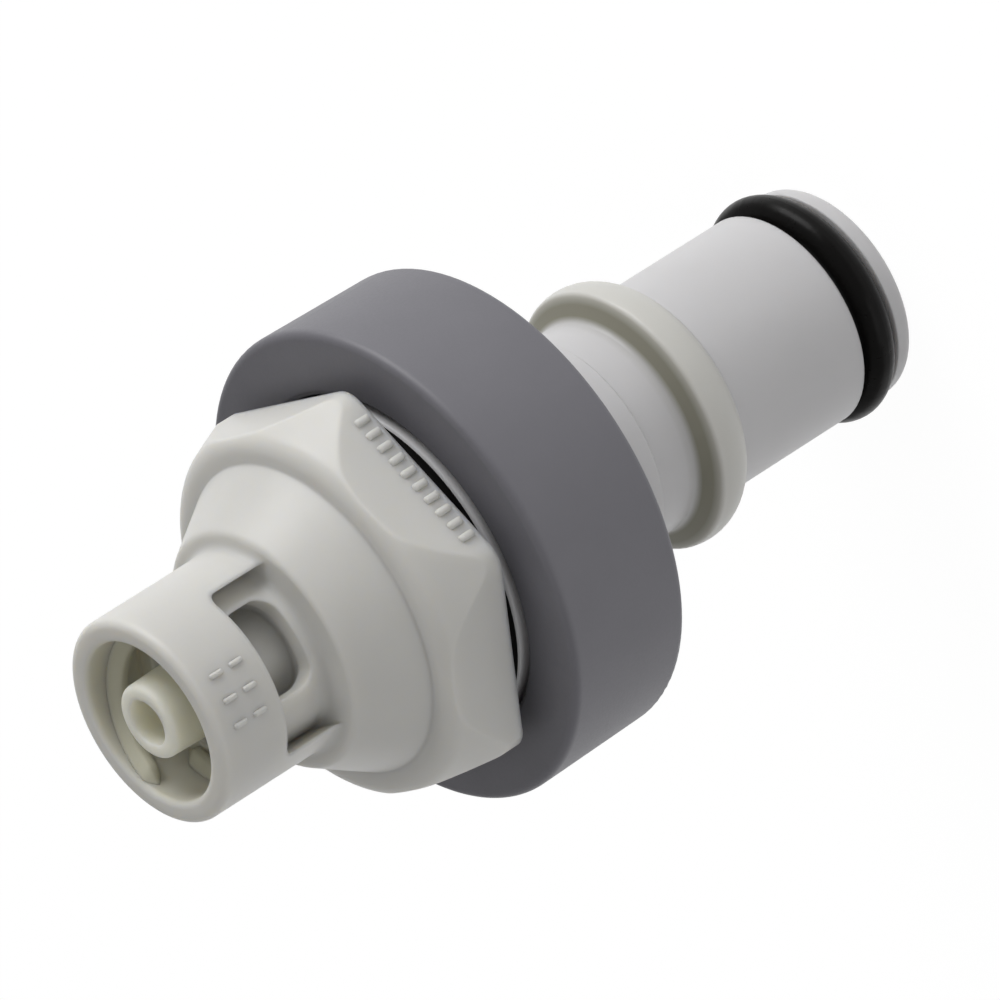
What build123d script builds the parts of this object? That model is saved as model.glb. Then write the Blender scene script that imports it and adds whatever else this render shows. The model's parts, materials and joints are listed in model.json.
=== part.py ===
from build123d import *
from math import acos, asin, cos, degrees, radians, sin, sqrt, tan
import os

# Insert half of a plastic quick disconnect coupling with a luer lock end, in millimetres.
# It stands on its barrel tip: Z runs up the bore, z = 0 is the tip face and the luer end is on top.
# The side windows behind the luer collar open towards -Y and +Y, along two corners of the nut.

# Insert barrel, from the tip upwards
barrel_radius = 5.76
barrel_wall = 1.46
tip_rounding = 0.7
lip_length = 1.15
gland_width = 2.4
gland_depth = 1.31
land_length = 10.35
bead_rise = 1.36
bead_rounding = 2.0
latch_round = 0.65
latch_length = 1.3
latch_edge = 0.3
groove_length = 2.5
neck_rise = 0.44
neck_length = 5.2
neck_edge = 0.15
flange_thickness = 1.5
sleeve_length = 6.0
sleeve_wall = 1.75
sleeve_edge = 0.2
socket_floor = 1.4

# Valve seat inside the tip
throat_wall = 1.05
throat_margin = 1.2
seat_height = 2.35
seat_width = 0.7
mouth_chamfer = 0.3

# Grip ring
ring_radius = 12.7
ring_draft = 0.15
ring_length = 7.45
ring_overhang = 0.2
ring_front_wall = 3.4
ring_back_wall = 1.7
ring_gap = 0.35
ring_edge = 0.4

# Luer housing, from the spigot upwards
spigot_wall = 1.9
nut_gap = 0.9
flat_overlap = 0.3
corner_rounding = 1.5
nut_height = 4.15
nut_taper = 20.8
shoulder_rounding = 1.1
shoulder_step = 1.27
bell_height = 3.3
bell_end_rounding = 0.38
bell_end_flat = 0.1
web_rounding = 0.4
window_height = 3.5
window_rounding = 0.5
window_sill = 0.5
wall_overlap = 0.1
wall_foot = 0.45
opening_near_inset = 1.55
opening_far_inset = 0.3
opening_rounding = 1.0
chamber_roof = 0.85
collar_radius = 5.47
collar_height = 4.0
collar_wall = 1.17
collar_floor = 0.6
collar_step = 1.0
collar_rounding = 0.4
collar_edge = 0.25

# Male luer cone, 6 percent taper on the diameter
luer_tip_radius = 1.97
luer_taper = 0.03
luer_hole_radius = 1.25
luer_edge = 0.3

# Valve poppet, with the stem's radius as a share of the boss's
nose_clearance = 0.3
nose_recess = 0.3
head_clearance = 0.3
head_thickness = 1.0
boss_clearance = 0.25
boss_height = 1.0
stem_share = 0.7
stem_overrun = 1.25
stem_chamfer = 0.3

# Spring guide, with the tube's radius as a share of the bore's
guide_flange = 1.2
guide_tube_share = 0.744
guide_tube_length = 6.9
guide_tube_wall = 0.9
guide_end_wall = 1.5
guide_slots = 3
guide_arm_width = 1.6

# Valve spring, with its radius as a share of the tube's
spring_share = 0.766
wire_radius = 0.2
spring_turns = 6

# Seals, each given by the radius of its section
tip_seal_section = 0.87
tip_seal_offset = 0.2
body_seal_section = 0.6
poppet_seal_section = 0.48

# Clearances
fit_clearance = 0.1
guide_clearance = 0.1
seal_clearance = 0.02
seat_clearance = 0.1

# Heights along the barrel
gland_top = lip_length + gland_width
bead_height = gland_top + land_length
groove_bottom = bead_height + latch_length
groove_top = groove_bottom + groove_length
flange_bottom = groove_top + neck_length
flange_top = flange_bottom + flange_thickness
socket_bottom = flange_top + socket_floor
sleeve_top = flange_top + sleeve_length
guide_top = socket_bottom + guide_flange
guide_bottom = socket_bottom - guide_tube_length
ring_bottom = flange_bottom - ring_overhang
ring_top = ring_bottom + ring_length

# Heights along the luer housing
nut_bottom = sleeve_top + nut_gap
nut_top = nut_bottom + nut_height
bell_top = nut_top + bell_height
collar_bottom = bell_top + window_height
rim_height = collar_bottom + collar_height

# Radii that follow from the sizes above
bore_radius = barrel_radius - barrel_wall
gland_radius = barrel_radius - gland_depth
neck_radius = barrel_radius + neck_rise
ring_bore_radius = ring_radius - ring_front_wall
flange_radius = ring_radius - ring_back_wall
sleeve_radius = ring_bore_radius - ring_gap
socket_radius = sleeve_radius - sleeve_wall
spigot_radius = socket_radius - fit_clearance
throat_radius = gland_radius - throat_wall
orifice_radius = throat_radius - seat_width
seat_top = seat_height + seat_width
tip_seal_height = lip_length + tip_seal_section + tip_seal_offset
across_flats = 2 * (ring_bore_radius + flat_overlap)
bell_end_radius = collar_radius + web_rounding + bell_end_flat + bell_end_rounding
guide_tube_radius = bore_radius * guide_tube_share
spring_radius = guide_tube_radius * spring_share
boss_radius = spring_radius - wire_radius - boss_clearance
stem_radius = boss_radius * stem_share

os.makedirs("parts", exist_ok=True)


def corner_near(sketch, x, y):
    """The corner of a sketch that lies nearest to a point"""
    return sketch.vertices().sort_by_distance((x, y))[0]


# Insert barrel: lip, seal gland, latch bead with its steep face, neck, flange and sleeve
bead_centre = barrel_radius + bead_rise - bead_rounding
bead_foot_angle = degrees(acos((bead_rounding - bead_rise) / bead_rounding))
bead_face_angle = degrees(asin(latch_round / bead_rounding))
bead_foot = bead_height - bead_rounding * sin(radians(bead_foot_angle))
bead_face_radius = bead_centre + bead_rounding * cos(radians(bead_face_angle))
throat_top = gland_top + throat_margin
bore_bottom = throat_top + bore_radius - throat_radius

with BuildPart() as insert_barrel:
    with BuildSketch(Plane.XZ) as barrel_profile:
        with BuildLine():
            Line((orifice_radius + mouth_chamfer, 0), (barrel_radius - tip_rounding, 0))
            CenterArc((barrel_radius - tip_rounding, tip_rounding), tip_rounding, -90, 90)
            Polyline(
                (barrel_radius, tip_rounding),
                (barrel_radius, lip_length),
                (gland_radius, lip_length),
                (gland_radius, gland_top),
                (barrel_radius, gland_top),
                (barrel_radius, bead_foot),
            )
            CenterArc(
                (bead_centre, bead_height),
                bead_rounding,
                -bead_foot_angle,
                bead_foot_angle + bead_face_angle,
            )
            Polyline(
                (bead_face_radius, bead_height + latch_round),
                (barrel_radius, groove_bottom),
                (barrel_radius, groove_top),
                (neck_radius, groove_top),
                (neck_radius, flange_bottom),
                (flange_radius, flange_bottom),
                (flange_radius, flange_top),
                (sleeve_radius, flange_top),
                (sleeve_radius, sleeve_top),
                (socket_radius, sleeve_top),
                (socket_radius, socket_bottom),
                (bore_radius, socket_bottom),
                (bore_radius, bore_bottom),
                (throat_radius, throat_top),
                (throat_radius, seat_top),
                (orifice_radius, seat_height),
                (orifice_radius, mouth_chamfer),
                (orifice_radius + mouth_chamfer, 0),
            )
        make_face()
        fillet(corner_near(barrel_profile, bead_face_radius, bead_height + latch_round), latch_edge)
        fillet(corner_near(barrel_profile, barrel_radius, groove_bottom), latch_edge)
        chamfer(corner_near(barrel_profile, neck_radius, groove_top), neck_edge)
        chamfer(corner_near(barrel_profile, sleeve_radius, sleeve_top), sleeve_edge)
    revolve(axis=Axis.Z)
insert_barrel.part.label = "insert_barrel"
export_step(insert_barrel.part, "parts/insert_barrel.step")

# Grip ring: slides over the sleeve, sits on the barrel's flange and is held down by the nut's corners
with BuildPart() as grip_ring:
    with BuildSketch(Plane.XZ) as ring_profile:
        with BuildLine():
            Polyline(
                (ring_bore_radius, ring_top),
                (ring_bore_radius, flange_top),
                (flange_radius + fit_clearance, flange_top),
                (flange_radius + fit_clearance, ring_bottom),
                (ring_radius - ring_draft, ring_bottom),
                (ring_radius, ring_top),
                close=True,
            )
        make_face()
        fillet(corner_near(ring_profile, ring_radius, ring_top), ring_edge)
        fillet(corner_near(ring_profile, ring_radius - ring_draft, ring_bottom), ring_edge)
        chamfer(corner_near(ring_profile, ring_bore_radius, ring_top), ring_edge / 2)
    revolve(axis=Axis.Z)
grip_ring.part.label = "grip_ring"
export_step(grip_ring.part, "parts/grip_ring.step")

# Luer housing: spigot, tapered nut, bell and locking collar with the luer cone inside, one moulding
nut_base_radius = across_flats / 2 / cos(radians(30)) + fit_clearance
nut_top_radius = nut_base_radius - nut_height * tan(radians(nut_taper))
bell_root_radius = nut_top_radius - shoulder_step
collar_bore_radius = collar_radius - collar_wall
collar_bore_bottom = collar_bottom + collar_floor
cavity_radius = collar_bore_radius - collar_step
window_half_width = collar_bore_radius
window_wall_radius = window_half_width + wall_overlap
opening_near_side = cavity_radius - opening_near_inset
opening_far_side = cavity_radius - opening_far_inset
chamber_radius = spigot_radius - spigot_wall
chamber_top = nut_bottom + nut_height / 2
chamber_peak = bell_top - chamber_roof
luer_root_radius = luer_tip_radius + luer_taper * (rim_height - bell_top)
body_seal_radius = socket_radius - seal_clearance - body_seal_section
body_seal_height = (guide_top + nut_bottom) / 2
body_gland_radius = body_seal_radius - body_seal_section - seal_clearance
body_gland_bottom = body_seal_height - body_seal_section - fit_clearance
body_gland_top = body_seal_height + body_seal_section + fit_clearance

with BuildPart() as luer_housing:
    with BuildSketch(Plane.XZ) as nut_profile:
        with BuildLine():
            Polyline(
                (0, nut_bottom),
                (nut_base_radius, nut_bottom),
                (nut_top_radius, nut_top),
                (0, nut_top),
                close=True,
            )
        make_face()
        fillet(corner_near(nut_profile, nut_top_radius, nut_top), shoulder_rounding)
    revolve(axis=Axis.Z)
    with BuildSketch(Plane.XY.offset(nut_bottom)) as nut_outline:
        RegularPolygon(across_flats / 2, 6, major_radius=False, rotation=30)
        fillet(nut_outline.vertices(), corner_rounding)
    extrude(amount=nut_height, mode=Mode.INTERSECT)
    with BuildSketch(Plane.XZ) as outside:
        with BuildLine():
            Polyline(
                (0, guide_top),
                (spigot_radius, guide_top),
                (spigot_radius, body_gland_bottom),
                (body_gland_radius, body_gland_bottom),
                (body_gland_radius, body_gland_top),
                (spigot_radius, body_gland_top),
                (spigot_radius, nut_top),
                (bell_root_radius, nut_top),
                (bell_end_radius, bell_top),
                (collar_radius, bell_top),
                (collar_radius, rim_height),
                (collar_bore_radius, rim_height),
                (collar_bore_radius, collar_bore_bottom),
                (cavity_radius, collar_bore_bottom),
                (cavity_radius, bell_top),
                (0, bell_top),
                close=True,
            )
        make_face()
        fillet(corner_near(outside, bell_end_radius, bell_top), bell_end_rounding)
        fillet(corner_near(outside, collar_radius, bell_top), web_rounding)
        fillet(corner_near(outside, collar_radius, rim_height), collar_rounding)
        fillet(corner_near(outside, collar_bore_radius, rim_height), collar_edge)
    revolve(axis=Axis.Z)
    with BuildSketch(Plane.XY.offset(bell_top)):
        Rectangle(2 * window_half_width, 2 * bell_end_radius)
        Circle(window_wall_radius, mode=Mode.SUBTRACT)
    extrude(amount=window_height, mode=Mode.SUBTRACT)
    fillet(luer_housing.edges().filter_by(Axis.Y).group_by(Axis.Z)[-1], window_rounding)
    with BuildSketch(Plane.XZ):
        with Locations((window_wall_radius, bell_top)):
            Rectangle(wall_foot, wall_foot, align=(Align.MIN, Align.MIN))
        with Locations((window_wall_radius + wall_foot, bell_top + wall_foot)):
            Circle(wall_foot, mode=Mode.SUBTRACT)
    revolve(axis=Axis.Z)
    with BuildSketch(Plane.XZ, Plane(origin=(0, 0, 0), x_dir=(-1, 0, 0), z_dir=(0, 1, 0))) as openings:
        with Locations(((opening_far_side - opening_near_side) / 2, collar_bottom)):
            Rectangle(
                opening_near_side + opening_far_side,
                window_height - window_sill,
                align=(Align.CENTER, Align.MAX),
            )
        fillet(openings.vertices(), opening_rounding)
    extrude(amount=bell_end_radius, mode=Mode.SUBTRACT)
    with BuildSketch(Plane.XZ) as luer_cone:
        with BuildLine():
            Polyline(
                (0, chamber_peak),
                (luer_root_radius, chamber_peak),
                (luer_root_radius, bell_top),
                (luer_tip_radius, rim_height),
                (0, rim_height),
                close=True,
            )
        make_face()
        fillet(corner_near(luer_cone, luer_tip_radius, rim_height), luer_edge)
    revolve(axis=Axis.Z)
    with BuildSketch(Plane.XZ) as flow_way:
        with BuildLine():
            Polyline(
                (0, guide_top),
                (chamber_radius, guide_top),
                (chamber_radius, chamber_top),
                (luer_hole_radius, chamber_peak),
                (luer_hole_radius, rim_height),
                (0, rim_height),
                close=True,
            )
        make_face()
    revolve(axis=Axis.Z, mode=Mode.SUBTRACT)
luer_housing.part.label = "luer_housing"
export_step(luer_housing.part, "parts/luer_housing.step")

# Spring guide: a flange clamped between socket and spigot, a tube down the bore and slots for the flow
with BuildPart() as spring_guide:
    with BuildSketch(Plane.XZ):
        with BuildLine():
            Polyline(
                (stem_radius + guide_clearance, guide_bottom),
                (guide_tube_radius, guide_bottom),
                (guide_tube_radius, socket_bottom),
                (spigot_radius, socket_bottom),
                (spigot_radius, guide_top),
                (guide_tube_radius - guide_tube_wall, guide_top),
                (guide_tube_radius - guide_tube_wall, guide_bottom + guide_end_wall),
                (stem_radius + guide_clearance, guide_bottom + guide_end_wall),
                close=True,
            )
        make_face()
    revolve(axis=Axis.Z)
    with BuildSketch(Plane.XY.offset(socket_bottom)):
        Circle(bore_radius)
        Circle(guide_tube_radius, mode=Mode.SUBTRACT)
        with PolarLocations(bore_radius, guide_slots):
            Rectangle(2 * (bore_radius - guide_tube_radius) + guide_arm_width, guide_arm_width, mode=Mode.SUBTRACT)
    extrude(amount=guide_flange, mode=Mode.SUBTRACT)
spring_guide.part.label = "spring_guide"
export_step(spring_guide.part, "parts/spring_guide.step")

# Valve poppet: nose in the orifice, seal groove, head with the spring boss, and the guided stem
nose_radius = orifice_radius - nose_clearance
poppet_groove_radius = nose_radius - 2 * poppet_seal_section + seat_width - seal_clearance
poppet_seal_radius = poppet_groove_radius + seal_clearance + poppet_seal_section
seat_reach = sqrt(2) * (poppet_seal_section + seat_clearance)
poppet_seal_height = seat_height + poppet_seal_radius - orifice_radius + seat_reach
head_bottom = poppet_seal_height + poppet_seal_section + seal_clearance
head_top = head_bottom + head_thickness
head_radius = throat_radius - head_clearance
stem_top = guide_bottom + guide_end_wall + stem_overrun

with BuildPart() as valve_poppet:
    with BuildSketch(Plane.XZ):
        with BuildLine():
            Polyline(
                (0, nose_recess),
                (nose_radius - mouth_chamfer, nose_recess),
                (nose_radius, nose_recess + mouth_chamfer),
                (nose_radius, poppet_seal_height - poppet_seal_section - seal_clearance),
                (poppet_groove_radius, poppet_seal_height - poppet_seal_section - seal_clearance),
                (poppet_groove_radius, head_bottom),
                (head_radius, head_bottom),
                (head_radius, head_top),
                (boss_radius, head_top),
                (boss_radius, head_top + boss_height),
                (stem_radius, head_top + boss_height),
                (stem_radius, stem_top - stem_chamfer),
                (stem_radius - stem_chamfer, stem_top),
                (0, stem_top),
                close=True,
            )
        make_face()
    revolve(axis=Axis.Z)
valve_poppet.part.label = "valve_poppet"
export_step(valve_poppet.part, "parts/valve_poppet.step")

# Valve spring: one coil from the poppet's head to the end of the guide
spring_bottom = head_top + fit_clearance + wire_radius
spring_length = guide_bottom - fit_clearance - wire_radius - spring_bottom

with BuildPart() as valve_spring:
    with BuildLine():
        coil = Helix(spring_length / spring_turns, spring_length, spring_radius, center=(0, 0, spring_bottom))
    with BuildSketch(Plane(origin=coil @ 0, z_dir=coil % 0)):
        Circle(wire_radius)
    sweep(path=coil, is_frenet=True)
valve_spring.part.label = "valve_spring"
export_step(valve_spring.part, "parts/valve_spring.step")

# Seals: name, radius and height of the section's centre, and the section's own radius
seals = {
    "tip_seal": (gland_radius + seal_clearance + tip_seal_section, tip_seal_height, tip_seal_section),
    "body_seal": (body_seal_radius, body_seal_height, body_seal_section),
    "poppet_seal": (poppet_seal_radius, poppet_seal_height, poppet_seal_section),
}
for name, (radius, height, section) in seals.items():
    with BuildPart() as seal:
        with BuildSketch(Plane.XZ):
            with Locations((radius, height)):
                Circle(section)
        revolve(axis=Axis.Z)
    seal.part.label = name
    export_step(seal.part, f"parts/{name}.step")
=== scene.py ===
import json
from math import radians

import bpy
from mathutils import Matrix, Vector


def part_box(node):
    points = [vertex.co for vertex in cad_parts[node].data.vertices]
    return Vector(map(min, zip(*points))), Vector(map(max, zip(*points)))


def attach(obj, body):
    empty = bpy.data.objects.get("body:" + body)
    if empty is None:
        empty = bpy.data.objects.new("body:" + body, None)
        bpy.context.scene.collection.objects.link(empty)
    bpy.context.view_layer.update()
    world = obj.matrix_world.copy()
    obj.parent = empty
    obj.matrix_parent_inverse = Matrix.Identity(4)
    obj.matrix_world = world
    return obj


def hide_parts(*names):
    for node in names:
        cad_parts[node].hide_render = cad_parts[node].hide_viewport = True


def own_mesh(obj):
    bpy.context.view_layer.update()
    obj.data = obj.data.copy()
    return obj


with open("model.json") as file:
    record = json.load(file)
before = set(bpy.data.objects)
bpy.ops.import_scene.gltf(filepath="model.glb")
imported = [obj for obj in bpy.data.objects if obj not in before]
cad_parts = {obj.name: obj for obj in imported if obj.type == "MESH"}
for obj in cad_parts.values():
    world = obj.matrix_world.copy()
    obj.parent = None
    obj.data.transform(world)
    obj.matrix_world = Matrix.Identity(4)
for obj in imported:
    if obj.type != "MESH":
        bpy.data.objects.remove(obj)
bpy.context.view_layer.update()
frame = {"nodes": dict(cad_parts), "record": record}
nodes = frame["nodes"]
mm = 0.001
print("loaded the frame:", ", ".join(sorted(nodes)))


# Helpers. The dictionaries below are in millimetres, degrees and watts.

# Some nodes have several sockets of one name, so those are picked by number
firstInput, secondInput = 0, 1
mixShare, mixFrom, mixTo, mixResult = 0, 6, 7, 2
shaderShare, shaderFrom, shaderTo = 0, 1, 2

def linearColour(hexCode):
    channels = [int(hexCode[i:i + 2], 16) / 255 for i in (1, 3, 5)]
    linear = [c / 12.92 if c <= 0.04045 else ((c + 0.055) / 1.055) ** 2.4 for c in channels]
    return (*linear, 1)


def addNode(material, kind, settings=None, links=None):
    node = material.node_tree.nodes.new(kind)
    for name, value in (settings or {}).items():
        if isinstance(name, int) or name in node.inputs:
            node.inputs[name].default_value = value
        else:
            setattr(node, name, value)
    for name, socket in (links or {}).items():
        material.node_tree.links.new(socket, node.inputs[name])
    return node


def newMaterial(name):
    material = bpy.data.materials.new(name)
    material.use_nodes = True
    shader = material.node_tree.nodes["Principled BSDF"]
    return material, shader


def addNoise(material, place, size, detail, roughness):
    return addNode(
        material, "ShaderNodeTexNoise",
        {"Scale": 1 / (size * mm), "Detail": detail, "Roughness": roughness}, {"Vector": place},
    ).outputs["Fac"]


def addTone(material, look, share):
    return addNode(
        material, "ShaderNodeMix",
        {"data_type": "RGBA", mixFrom: linearColour(look["dark"]), mixTo: linearColour(look["light"])},
        {mixShare: share},
    ).outputs[mixResult]


def addSheen(material, look, share):
    smoothest = look["roughness"] - look["roughnessSpread"]
    roughest = look["roughness"] + look["roughnessSpread"]
    return addNode(
        material, "ShaderNodeMapRange", {"To Min": smoothest, "To Max": roughest}, {"Value": share},
    ).outputs["Result"]


# Zones: rings about the part's axis, each with a range of radius and of height, where a material has another tone

def shareInRange(material, measure, ends, fade):
    low, high = ends
    halfWidth = (high - low) / 2
    offset = addNode(
        material, "ShaderNodeMath", {"operation": "SUBTRACT", secondInput: (low + high) / 2 * mm},
        {firstInput: measure},
    )
    away = addNode(material, "ShaderNodeMath", {"operation": "ABSOLUTE"}, {firstInput: offset.outputs["Value"]})
    return addNode(
        material, "ShaderNodeMapRange", {"From Min": (halfWidth + fade) * mm, "From Max": halfWidth * mm},
        {"Value": away.outputs["Value"]},
    ).outputs["Result"]


def tintZones(material, place, tone, zones):
    acrossAxis = addNode(
        material, "ShaderNodeVectorMath", {"operation": "MULTIPLY", secondInput: (1, 1, 0)}, {firstInput: place},
    )
    radius = addNode(
        material, "ShaderNodeVectorMath", {"operation": "LENGTH"}, {firstInput: acrossAxis.outputs["Vector"]},
    ).outputs["Value"]
    height = addNode(material, "ShaderNodeSeparateXYZ", {}, {firstInput: place}).outputs["Z"]
    for zone in zones:
        radiusShare = shareInRange(material, radius, zone["radius"], zone["fade"])
        heightShare = shareInRange(material, height, zone["height"], zone["fade"])
        share = addNode(
            material, "ShaderNodeMath", {"operation": "MULTIPLY"},
            {firstInput: radiusShare, secondInput: heightShare},
        )
        tone = addNode(
            material, "ShaderNodeMix", {"data_type": "RGBA", mixTo: linearColour(zone["colour"])},
            {mixShare: share.outputs["Value"], mixFrom: tone},
        ).outputs[mixResult]
    return tone


# Moulded plastics and rubber. The mould's surface gives a fine even grain, the melt leaves broad faint clouds of tone
# and shallow sinks, and light goes a little way in, so thin walls glow. Moulded edges are never sharp, so the shading
# rounds them. The real grain is about 0.03 mm, too fine for the picture, so it is drawn four or more times as coarse.

edgeSamples = 6

def mouldedPlastic(name, look):
    material, shader = newMaterial(name)
    place = addNode(material, "ShaderNodeTexCoord").outputs["Object"]
    clouds = addNoise(material, place, look["cloudSize"], detail=3, roughness=0.5)
    grain = addNoise(material, place, look["grainSize"], detail=4, roughness=0.6)
    waves = addNoise(material, place, look["waveSize"], detail=2, roughness=0.4)
    tone = addTone(material, look, clouds)
    if "zones" in look:
        tone = tintZones(material, place, tone, look["zones"])
    sheen = addSheen(material, look, grain)
    softEdge = addNode(material, "ShaderNodeBevel", {"samples": edgeSamples, "Radius": look["edgeRadius"] * mm})
    sink = addNode(
        material, "ShaderNodeBump", {"Strength": 1, "Distance": look["waveDepth"] * mm},
        {"Height": waves, "Normal": softEdge.outputs["Normal"]},
    )
    relief = addNode(
        material, "ShaderNodeBump", {"Strength": look["grainStrength"], "Distance": look["grainDepth"] * mm},
        {"Height": grain, "Normal": sink.outputs["Normal"]},
    )
    links = material.node_tree.links
    links.new(tone, shader.inputs["Base Color"])
    links.new(sheen, shader.inputs["Roughness"])
    links.new(relief.outputs["Normal"], shader.inputs["Normal"])
    shader.inputs["IOR"].default_value = look["ior"]
    shader.inputs["Specular IOR Level"].default_value = look["specular"]
    shader.inputs["Subsurface Weight"].default_value = look["glow"]
    shader.inputs["Subsurface Radius"].default_value = look["glowColour"]
    shader.inputs["Subsurface Scale"].default_value = look["glowDepth"] * mm
    return material


# Polypropylene, injection moulded: warm satin grey, see-through enough to yellow where light comes through its walls
housingLook = {
    "dark": "#d0cfcb", "light": "#dad9d5", "cloudSize": 5,
    "grainSize": 0.12, "grainDepth": 0.004, "grainStrength": 0.5,
    "waveSize": 3, "waveDepth": 0.012, "edgeRadius": 0.35,
    "roughness": 0.42, "roughnessSpread": 0.06, "ior": 1.49, "specular": 0.5,
    "glow": 0.9, "glowDepth": 1.2, "glowColour": (1, 0.92, 0.74),
    # These zones are painted light: a warm darker shade inside the collar and a pale painted glow on the luer cone
    "zones": (
        {"radius": (0, 4.1), "height": (43, 48), "fade": 0.4, "colour": "#cfcdb9"},  # painted shade and warm glow inside the collar
        {"radius": (0, 2.2), "height": (43, 48), "fade": 0.4, "colour": "#f3f0e0"},  # painted glow on the luer cone
    ),
}

# The same plastic in small raised shapes, where light has no room to go far in
detailLook = {**housingLook, "glow": 0.3, "glowDepth": 0.2}

# Acetal, injection moulded: neutral grey, denser and a little smoother. The darker tone on the latch bead's steep
# face is painted shade in the corner behind the bead.
barrelLook = {
    "dark": "#cbcacb", "light": "#d4d3d4", "cloudSize": 6,
    "grainSize": 0.12, "grainDepth": 0.003, "grainStrength": 0.5,
    "waveSize": 4, "waveDepth": 0.008, "edgeRadius": 0.15,
    "roughness": 0.4, "roughnessSpread": 0.05, "ior": 1.48, "specular": 0.5,
    "glow": 0.6, "glowDepth": 0.8, "glowColour": (1, 0.94, 0.88),
    "zones": (
        {"radius": (6.2, 8), "height": (12.6, 15.6), "fade": 0.4, "colour": "#d2d1cc"},  # latch bead
        {"radius": (6.05, 6.85), "height": (14.8, 15.4), "fade": 0.35, "colour": "#908e80"},  # painted shade on its steep face
    ),
}

# Nylon, moulded in a lightly textured tool: opaque dark grey with a dull even sheen
ringLook = {
    "dark": "#6a696f", "light": "#737278", "cloudSize": 4,
    "grainSize": 0.16, "grainDepth": 0.012, "grainStrength": 0.8,
    "waveSize": 4, "waveDepth": 0.01, "edgeRadius": 0.2,
    "roughness": 0.5, "roughnessSpread": 0.08, "ior": 1.56, "specular": 0.5,
    "glow": 0, "glowDepth": 0.1, "glowColour": (1, 1, 1),
}

# Acetal without pigment, injection moulded: milky white and smooth
innerLook = {
    "dark": "#d8d6cd", "light": "#e2e0d8", "cloudSize": 4,
    "grainSize": 0.1, "grainDepth": 0.003, "grainStrength": 0.5,
    "waveSize": 2, "waveDepth": 0.004, "edgeRadius": 0.1,
    "roughness": 0.38, "roughnessSpread": 0.05, "ior": 1.48, "specular": 0.5,
    "glow": 0.2, "glowDepth": 0.5, "glowColour": (1, 0.85, 0.65),
}

# Nitrile rubber, compression moulded and greased: almost black, with a soft wavering highlight
rubberLook = {
    "dark": "#0d0c0c", "light": "#131211", "cloudSize": 2,
    "grainSize": 0.3, "grainDepth": 0.006, "grainStrength": 0.6,
    "waveSize": 1.2, "waveDepth": 0.04, "edgeRadius": 0.05,
    "roughness": 0.3, "roughnessSpread": 0.08, "ior": 1.36, "specular": 0.18,
    "glow": 0, "glowDepth": 0.1, "glowColour": (1, 1, 1),
}


# Stainless spring wire, cold drawn: bright metal with a fine uneven polish from the die

wireLook = {
    "dark": "#a9aaad", "light": "#c3c4c6", "streakSize": 0.08, "streakDepth": 0.003, "streakStrength": 0.5,
    "roughness": 0.26, "roughnessSpread": 0.07,
}

def drawnWire(name, look):
    material, shader = newMaterial(name)
    place = addNode(material, "ShaderNodeTexCoord").outputs["Object"]
    streaks = addNoise(material, place, look["streakSize"], detail=3, roughness=0.6)
    relief = addNode(
        material, "ShaderNodeBump", {"Strength": look["streakStrength"], "Distance": look["streakDepth"] * mm},
        {"Height": streaks},
    )
    links = material.node_tree.links
    links.new(addTone(material, look, streaks), shader.inputs["Base Color"])
    links.new(addSheen(material, look, streaks), shader.inputs["Roughness"])
    links.new(relief.outputs["Normal"], shader.inputs["Normal"])
    shader.inputs["Metallic"].default_value = 1
    return material


materials = {
    "housing_plastic": mouldedPlastic("mouldedPolypropyleneWarmGrey", housingLook),
    "housing_detail": mouldedPlastic("mouldedPolypropyleneRaised", detailLook),
    "barrel_plastic": mouldedPlastic("mouldedAcetalGrey", barrelLook),
    "ring_plastic": mouldedPlastic("mouldedNylonDarkGrey", ringLook),
    "inner_plastic": mouldedPlastic("mouldedAcetalNatural", innerLook),
    "seal_rubber": mouldedPlastic("mouldedNitrileRubber", rubberLook),
    "spring_steel": drawnWire("drawnSpringSteel", wireLook),
}

nodeSlots = {part["node"]: part["material_slot"] for part in frame["record"]["subparts"]}
for name, slot in nodeSlots.items():
    nodes[name].data.materials.clear()
    nodes[name].data.materials.append(materials[slot])
print("materials made:", len(materials))


# Shaping by hand: points are picked by their place, then moved in edit mode

mergeDistance = 0.001 * mm
sharpAngle = radians(35)

def editPoints(piece, wanted):
    if piece.mode != "OBJECT":
        bpy.ops.object.mode_set(mode="OBJECT")
    bpy.ops.object.select_all(action="DESELECT")
    piece.select_set(True)
    bpy.context.view_layer.objects.active = piece
    bpy.ops.object.mode_set(mode="EDIT")
    bpy.ops.mesh.select_mode(type="VERT")
    bpy.ops.mesh.select_all(action="DESELECT")
    bpy.ops.object.mode_set(mode="OBJECT")
    for point in piece.data.vertices:
        point.select = wanted(point.co)
    bpy.ops.object.mode_set(mode="EDIT")


def placePiece(piece, matrix):
    piece.matrix_world = matrix
    bpy.ops.object.transform_apply(location=True, rotation=True, scale=True)


def addUprightSquare():
    bpy.ops.object.select_all(action="DESELECT")
    bpy.ops.mesh.primitive_plane_add(size=mm, rotation=(radians(90), 0, 0))
    bpy.ops.object.transform_apply(location=True, rotation=True, scale=True)
    return bpy.context.object


def joinPieces(pieces, name):
    bpy.ops.object.select_all(action="DESELECT")
    for piece in pieces:
        piece.select_set(True)
    bpy.context.view_layer.objects.active = pieces[0]
    bpy.ops.object.join()
    joined = bpy.context.object
    joined.name = joined.data.name = name
    return joined


def finishPiece(piece, finish, body):
    editPoints(piece, lambda place: True)
    bpy.ops.mesh.remove_doubles(threshold=mergeDistance)
    bpy.ops.mesh.normals_make_consistent(inside=False)
    bpy.ops.object.mode_set(mode="OBJECT")
    bpy.ops.object.shade_smooth_by_angle(angle=sharpAngle)
    piece.data.materials.clear()
    piece.data.materials.append(materials[finish])
    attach(piece, body)
    print("made", piece.name, "with", len(piece.data.polygons), "faces")


# Luer lock thread: two lugs that wind half a turn down the collar's wall and run out at both ends. A run-out share
# is how much of the full section is left at each of the end's first steps.

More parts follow.
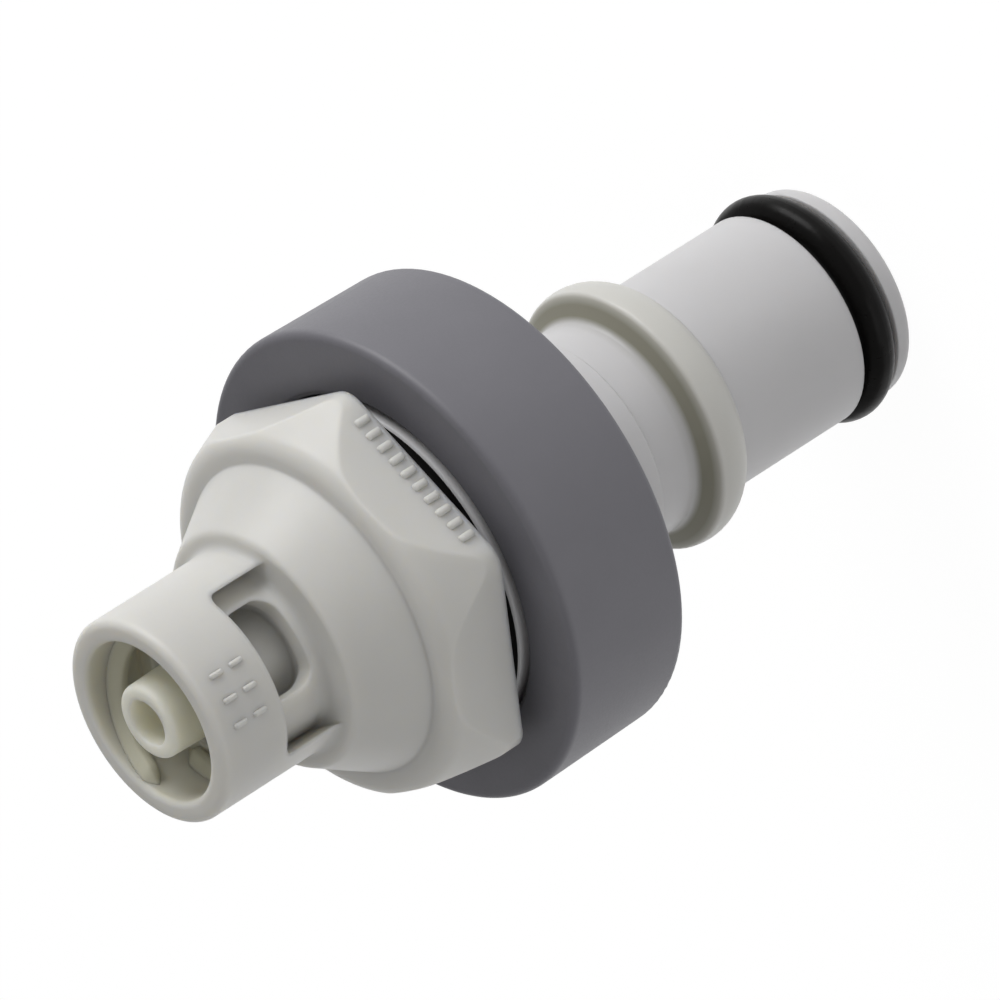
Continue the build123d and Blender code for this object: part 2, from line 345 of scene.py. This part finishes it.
threadLug = {
    "wallRadius": 4.4, "crestRadius": 3.55, "wallWidth": 1.15, "crestWidth": 0.45, "startHeight": 45.6,
    "startAngles": (-38, 142), "span": 190, "lead": 5, "steps": 76, "runOut": (0.12, 0.4, 0.68, 0.88),
    "edge": 0.12, "edgeSteps": 2, "stepReach": 0.02, "sectionReach": 2,
}

def makeThreadLug(values, startAngle):
    endAngle = startAngle - values["span"]
    rise = values["lead"] * values["span"] / 360
    depth = values["wallRadius"] - values["crestRadius"]
    middle = (values["wallRadius"] + values["crestRadius"]) / 2
    lug = addUprightSquare()
    editPoints(lug, lambda place: place.x < 0)
    bpy.ops.transform.resize(value=(1, 1, values["crestWidth"] / values["wallWidth"]), center_override=(0, 0, 0))
    bpy.ops.object.mode_set(mode="OBJECT")
    lowEnd = Matrix.Rotation(radians(endAngle), 4, "Z") @ Matrix.Translation(
        Vector((middle, 0, values["startHeight"] - rise)) * mm
    )
    placePiece(lug, lowEnd @ Matrix.Diagonal((depth, 1, values["wallWidth"], 1)))
    editPoints(lug, lambda place: True)
    bpy.ops.mesh.delete(type="ONLY_FACE")
    bpy.ops.object.mode_set(mode="OBJECT")
    wind = lug.modifiers.new("wind", "SCREW")
    wind.angle = radians(values["span"])
    wind.screw_offset = rise * mm
    wind.steps = wind.render_steps = values["steps"]
    bpy.ops.object.modifier_apply(modifier="wind")
    editPoints(lug, lambda place: True)
    bpy.ops.mesh.fill_holes(sides=4)
    for index, share in enumerate(values["runOut"]):
        for step in (index, values["steps"] - index):
            along = step / values["steps"]
            turn = Matrix.Rotation(radians(endAngle + along * values["span"]), 3, "Z")
            foot = turn @ Vector((values["wallRadius"], 0, values["startHeight"] - rise * (1 - along))) * mm
            across = turn @ Vector((0, 1, 0))
            editPoints(
                lug,
                lambda place: abs((place - foot).dot(across)) < values["stepReach"] * mm
                and (place - foot).length < values["sectionReach"] * mm,
            )
            bpy.ops.transform.resize(value=(share, share, share), center_override=foot)
    bpy.ops.object.mode_set(mode="OBJECT")
    soften = lug.modifiers.new("soften", "BEVEL")
    soften.width = values["edge"] * mm
    soften.segments = values["edgeSteps"]
    soften.angle_limit = sharpAngle
    bpy.ops.object.modifier_apply(modifier="soften")
    return lug


lugs = [makeThreadLug(threadLug, angle) for angle in threadLug["startAngles"]]
finishPiece(joinPieces(lugs, "luerThread"), "housing_detail", "coupling")


# Raised bars: a row of short ribs on one flat of the nut and two small rows on the collar's side. Draft is the
# outer face's share of the foot's size.

def makeBar(values, matrix):
    bpy.ops.object.select_all(action="DESELECT")
    bpy.ops.mesh.primitive_cube_add(size=mm)
    bar = bpy.context.object
    placePiece(bar, Matrix.Diagonal((*values["size"], 1)))
    editPoints(bar, lambda place: place.x > 0)
    bpy.ops.transform.resize(value=(1, values["draft"], values["draft"]), center_override=(0, 0, 0))
    bpy.ops.mesh.select_all(action="SELECT")
    bpy.ops.mesh.bevel(offset=values["edge"] * mm, segments=values["edgeSteps"], affect="EDGES")
    bpy.ops.object.mode_set(mode="OBJECT")
    placePiece(bar, matrix)
    return bar


gripRibs = {
    "size": (0.4, 0.42, 0.95), "draft": 0.8, "edge": 0.08, "edgeSteps": 3, "count": 10, "pitch": 0.85,
    "flatDistance": 9.6, "flatAngle": -60, "height": 31.98,
}
flatTurn = Matrix.Rotation(radians(gripRibs["flatAngle"]), 4, "Z")
ribs = []
for index in range(gripRibs["count"]):
    sideways = (index - (gripRibs["count"] - 1) / 2) * gripRibs["pitch"]
    ribPlace = Vector((gripRibs["flatDistance"], sideways, gripRibs["height"])) * mm
    ribs.append(makeBar(gripRibs, flatTurn @ Matrix.Translation(ribPlace)))
finishPiece(joinPieces(ribs, "nutFlatRibs"), "housing_detail", "coupling")

collarBars = {
    "size": (0.36, 0.3, 0.9), "draft": 0.8, "edge": 0.07, "edgeSteps": 3, "collarRadius": 5.44,
    "angles": (-104, -90, -76), "heights": (43.55, 44.8),
}
bars = []
for angle in collarBars["angles"]:
    for height in collarBars["heights"]:
        barTurn = Matrix.Rotation(radians(angle), 4, "Z")
        barPlace = Vector((collarBars["collarRadius"], 0, height)) * mm
        bars.append(makeBar(collarBars, barTurn @ Matrix.Translation(barPlace)))
finishPiece(joinPieces(bars, "collarSideBars"), "housing_detail", "coupling")


# Painted shade in the joint: a flat black rubber washer on the sleeve's end, so the gap between the nut and the grip
# ring shows dark like its shade

gapShadeWasher = {
    "innerRadius": 7.45, "outerRadius": 9.05, "bottom": 30.41, "top": 31.05, "edge": 0.15, "edgeSteps": 4,
    "steps": 128,
}

def makeGasket(values):
    width = values["outerRadius"] - values["innerRadius"]
    height = values["top"] - values["bottom"]
    middle = Vector((values["innerRadius"] + width / 2, 0, values["bottom"] + height / 2)) * mm
    gasket = addUprightSquare()
    gasket.name = gasket.data.name = "gapShadeWasher"
    placePiece(gasket, Matrix.Translation(middle) @ Matrix.Diagonal((width, 1, height, 1)))
    editPoints(gasket, lambda place: True)
    bpy.ops.mesh.bevel(offset=values["edge"] * mm, segments=values["edgeSteps"], affect="VERTICES")
    bpy.ops.mesh.select_all(action="SELECT")
    bpy.ops.mesh.delete(type="ONLY_FACE")
    bpy.ops.mesh.select_all(action="SELECT")
    bpy.ops.mesh.spin(steps=values["steps"], angle=radians(360), center=(0, 0, 0), axis=(0, 0, 1))
    bpy.ops.object.mode_set(mode="OBJECT")
    finishPiece(gasket, "seal_rubber", "coupling")


makeGasket(gapShadeWasher)


# Valve spring: the same coil as the CAD node, made as a piece of its own in place of it

springCoil = {"radius": 2.45, "wireRadius": 0.2, "wireSides": 14, "turns": 6, "stepsPerTurn": 44, "travel": 3}

def makeSpring(values):
    low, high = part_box("valve_spring")
    length = high[2] - low[2]
    wire = values["wireRadius"] * mm
    bpy.ops.object.select_all(action="DESELECT")
    bpy.ops.mesh.primitive_circle_add(
        vertices=values["wireSides"], radius=wire, location=(values["radius"] * mm, 0, low[2] + wire),
        rotation=(radians(90), 0, 0),
    )
    coil = bpy.context.object
    coil.name = coil.data.name = "valveSpringCoil"
    bpy.ops.object.transform_apply(location=True, rotation=True, scale=True)
    wind = coil.modifiers.new("wind", "SCREW")
    wind.angle = radians(360 * values["turns"])
    wind.screw_offset = length - 2 * wire
    wind.steps = wind.render_steps = values["stepsPerTurn"] * values["turns"]
    bpy.ops.object.modifier_apply(modifier="wind")
    editPoints(coil, lambda place: True)
    bpy.ops.mesh.fill_holes(sides=values["wireSides"])
    bpy.ops.object.mode_set(mode="OBJECT")
    finishPiece(coil, "spring_steel", "coupling")
    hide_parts("valve_spring")
    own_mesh(coil)


makeSpring(springCoil)


# Camera: where the photograph was taken from, with the part standing on its tip

cameraView = {
    "target": (0.64, -3.19, 24.93), "distance": 578, "azimuth": 11.7, "elevation": 31.87, "roll": -122.4,
    "lens": 432, "sensor": 36, "nearest": 10, "farthest": 10000,
}

def placeCamera(view):
    bpy.ops.object.camera_add()
    camera = bpy.context.object
    camera.name = "photoCamera"
    turn = Matrix.Rotation(radians(view["azimuth"]), 4, "Z")
    tilt = Matrix.Rotation(radians(90 - view["elevation"]), 4, "X")
    roll = Matrix.Rotation(radians(view["roll"]), 4, "Z")
    away = Matrix.Translation((0, 0, view["distance"] * mm))
    camera.matrix_world = Matrix.Translation(Vector(view["target"]) * mm) @ turn @ tilt @ roll @ away
    camera.data.lens = view["lens"]
    camera.data.sensor_width = view["sensor"]
    camera.data.clip_start = view["nearest"] * mm
    camera.data.clip_end = view["farthest"] * mm
    bpy.context.scene.camera = camera
    bpy.context.scene.view_settings.view_transform = "Standard"


placeCamera(cameraView)


# Studio: pale floor, even white surroundings, a large soft lamp beside the part and a weak one opposite. What the
# camera sees of the floor is mostly its own white glow, so it stays as even as a photographer's backdrop.

studio = {
    "floorSize": 6000, "floorDrop": 0.02, "floorColour": "#f4f4f4", "floorRoughness": 0.9,
    "floorGlow": 1.06, "floorGlowShare": 0.9, "worldColour": "#ffffff", "worldStrength": 0.38,
    "lamps": {
        "softLamp": {"power": 2.85, "size": 400, "place": (560, -40, 90)},
        "fillLamp": {"power": 0.52, "size": 400, "place": (-300, -450, 30)},
    },
    "lampTarget": (0, 0, 25),
}

def makeFloor(values):
    bpy.ops.object.select_all(action="DESELECT")
    bpy.ops.mesh.primitive_plane_add(size=values["floorSize"] * mm, location=(0, 0, -values["floorDrop"] * mm))
    floor = bpy.context.object
    floor.name = "studioFloor"
    material, shader = newMaterial("paintedStudioFloor")
    shader.inputs["Base Color"].default_value = linearColour(values["floorColour"])
    shader.inputs["Roughness"].default_value = values["floorRoughness"]
    rays = addNode(material, "ShaderNodeLightPath").outputs
    mirrored = addNode(
        material, "ShaderNodeMath", {"operation": "ADD"},
        {firstInput: rays["Is Glossy Ray"], secondInput: rays["Is Transmission Ray"]},
    )
    seen = addNode(
        material, "ShaderNodeMath", {"operation": "ADD", "use_clamp": True},
        {firstInput: rays["Is Camera Ray"], secondInput: mirrored.outputs["Value"]},
    )
    share = addNode(
        material, "ShaderNodeMath", {"operation": "MULTIPLY", secondInput: values["floorGlowShare"]},
        {firstInput: seen.outputs["Value"]},
    )
    glow = addNode(material, "ShaderNodeEmission", {"Strength": values["floorGlow"]})
    mix = addNode(
        material, "ShaderNodeMixShader", {},
        {
            shaderShare: share.outputs["Value"], shaderFrom: shader.outputs["BSDF"],
            shaderTo: glow.outputs["Emission"],
        },
    )
    output = material.node_tree.nodes["Material Output"]
    material.node_tree.links.new(mix.outputs["Shader"], output.inputs["Surface"])
    floor.data.materials.append(material)


def makeWorld(values):
    world = bpy.data.worlds.new("studioWorld")
    bpy.context.scene.world = world
    world.use_nodes = True
    background = world.node_tree.nodes["Background"]
    background.inputs["Strength"].default_value = values["worldStrength"]
    background.inputs["Color"].default_value = linearColour(values["worldColour"])


def makeLamps(values):
    target = Vector(values["lampTarget"]) * mm
    for name, lampValues in values["lamps"].items():
        place = Vector(lampValues["place"]) * mm
        bpy.ops.object.light_add(type="AREA", location=place)
        lamp = bpy.context.object
        lamp.name = name
        lamp.data.energy = lampValues["power"]
        lamp.data.size = lampValues["size"] * mm
        lamp.rotation_euler = (target - place).to_track_quat("-Z", "Y").to_euler()


makeFloor(studio)
makeWorld(studio)
makeLamps(studio)
print("studio ready")
